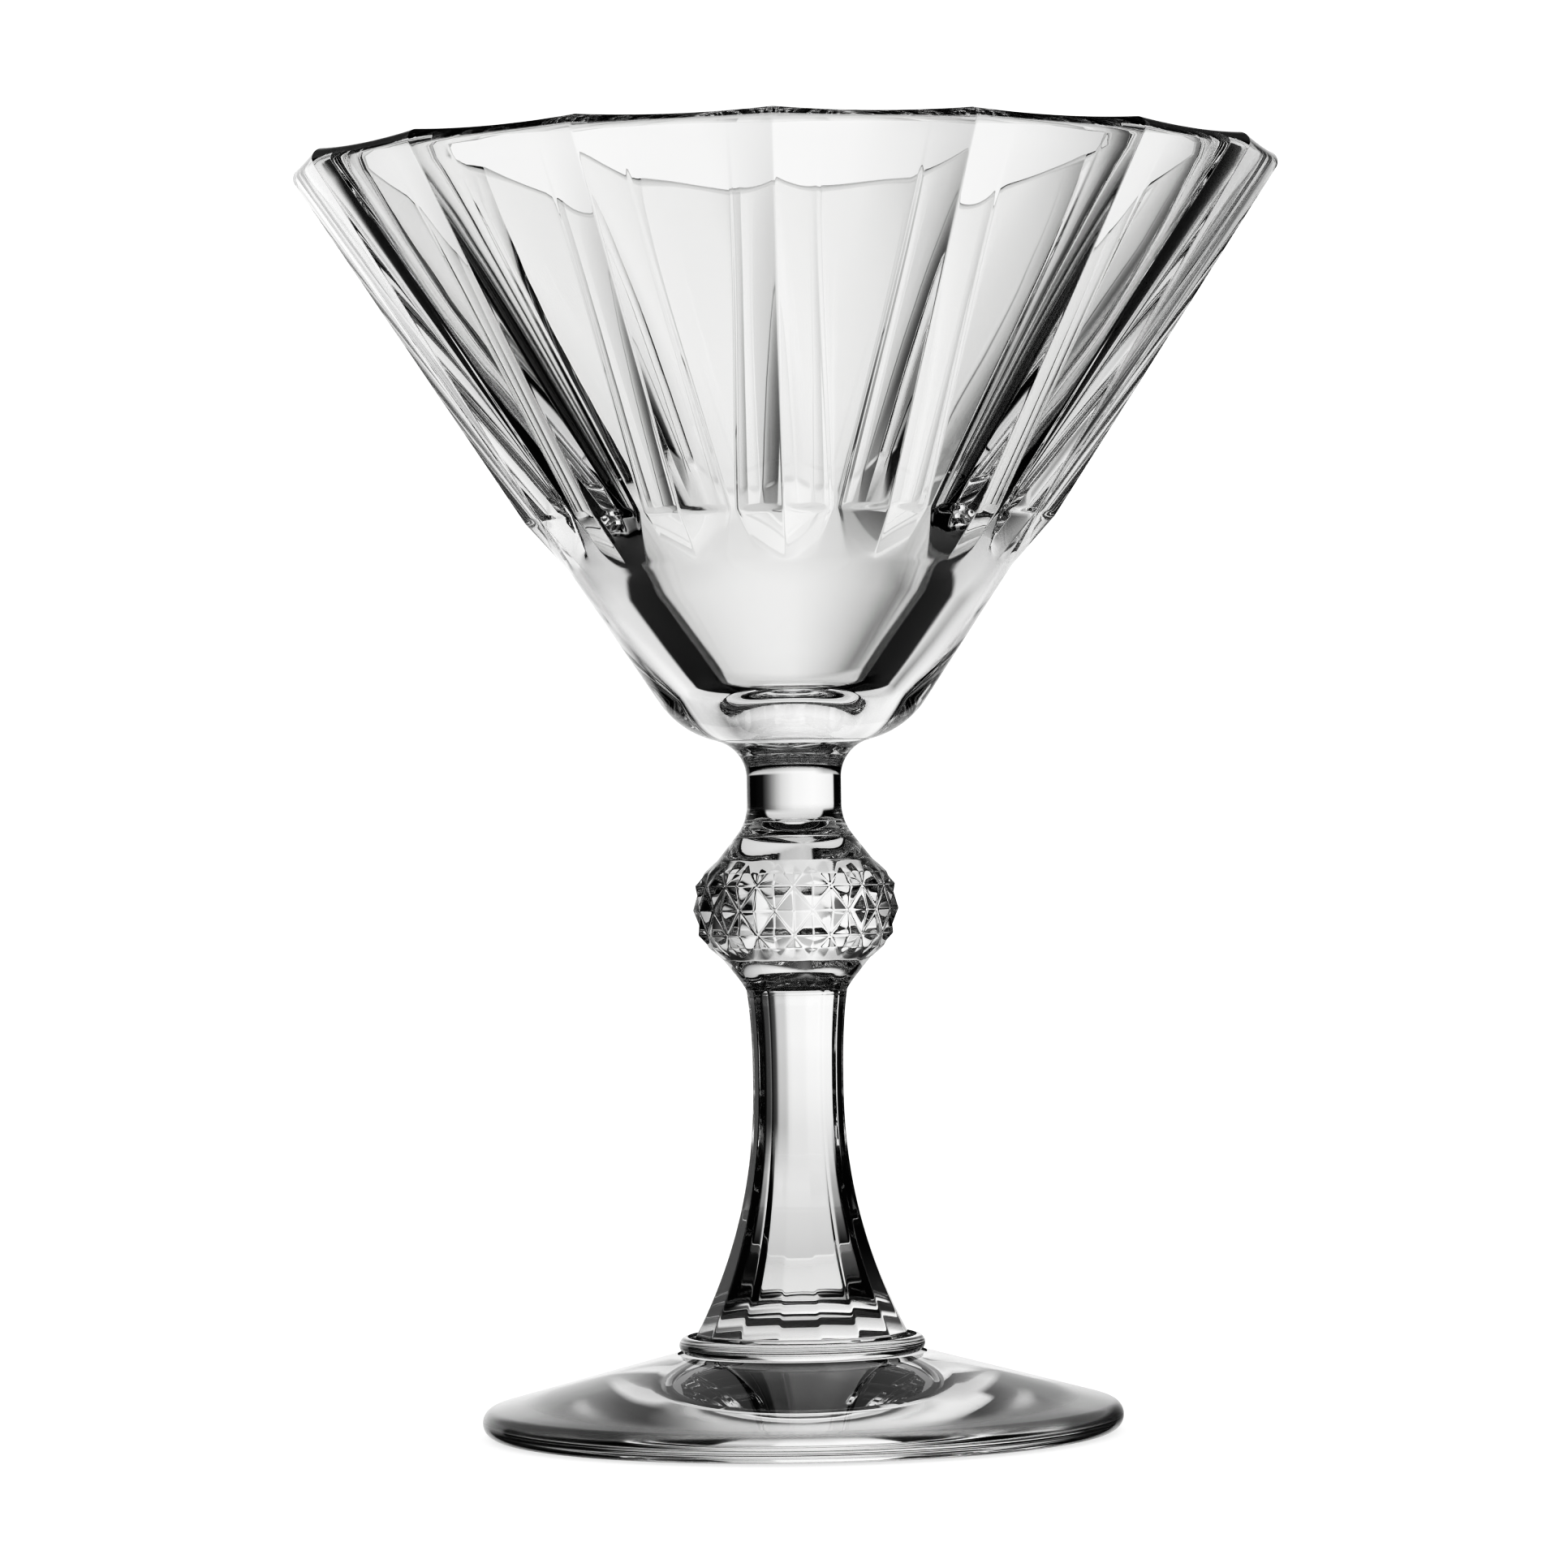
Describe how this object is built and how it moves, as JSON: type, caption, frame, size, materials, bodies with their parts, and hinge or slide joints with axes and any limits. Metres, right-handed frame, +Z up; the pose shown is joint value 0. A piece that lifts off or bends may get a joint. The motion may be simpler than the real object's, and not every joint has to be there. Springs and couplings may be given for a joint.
{
  "type": "martini glass",
  "caption": "Stemmed cocktail glass of clear pressed glass: ribbed V-shaped bowl, diamond-cut knop, faceted flared stem, collar bead and round foot.",
  "frame": {"origin": "centre of the foot's underside, on the surface that the glass stands on", "axes": "+Z up along the axis of the glass; one rib of the bowl faces -Y"},
  "size_m": [0.1154, 0.1154, 0.1489],
  "materials": {
    "clear_glass": "clear colourless soda-lime glass, pressed and fire-polished"
  },
  "bodies": {
    "root": {"foot": "clear_glass", "collar": "clear_glass", "shaft": "clear_glass", "knop": "clear_glass", "neck": "clear_glass", "bowl": "clear_glass"}
  },
  "joints": []
}
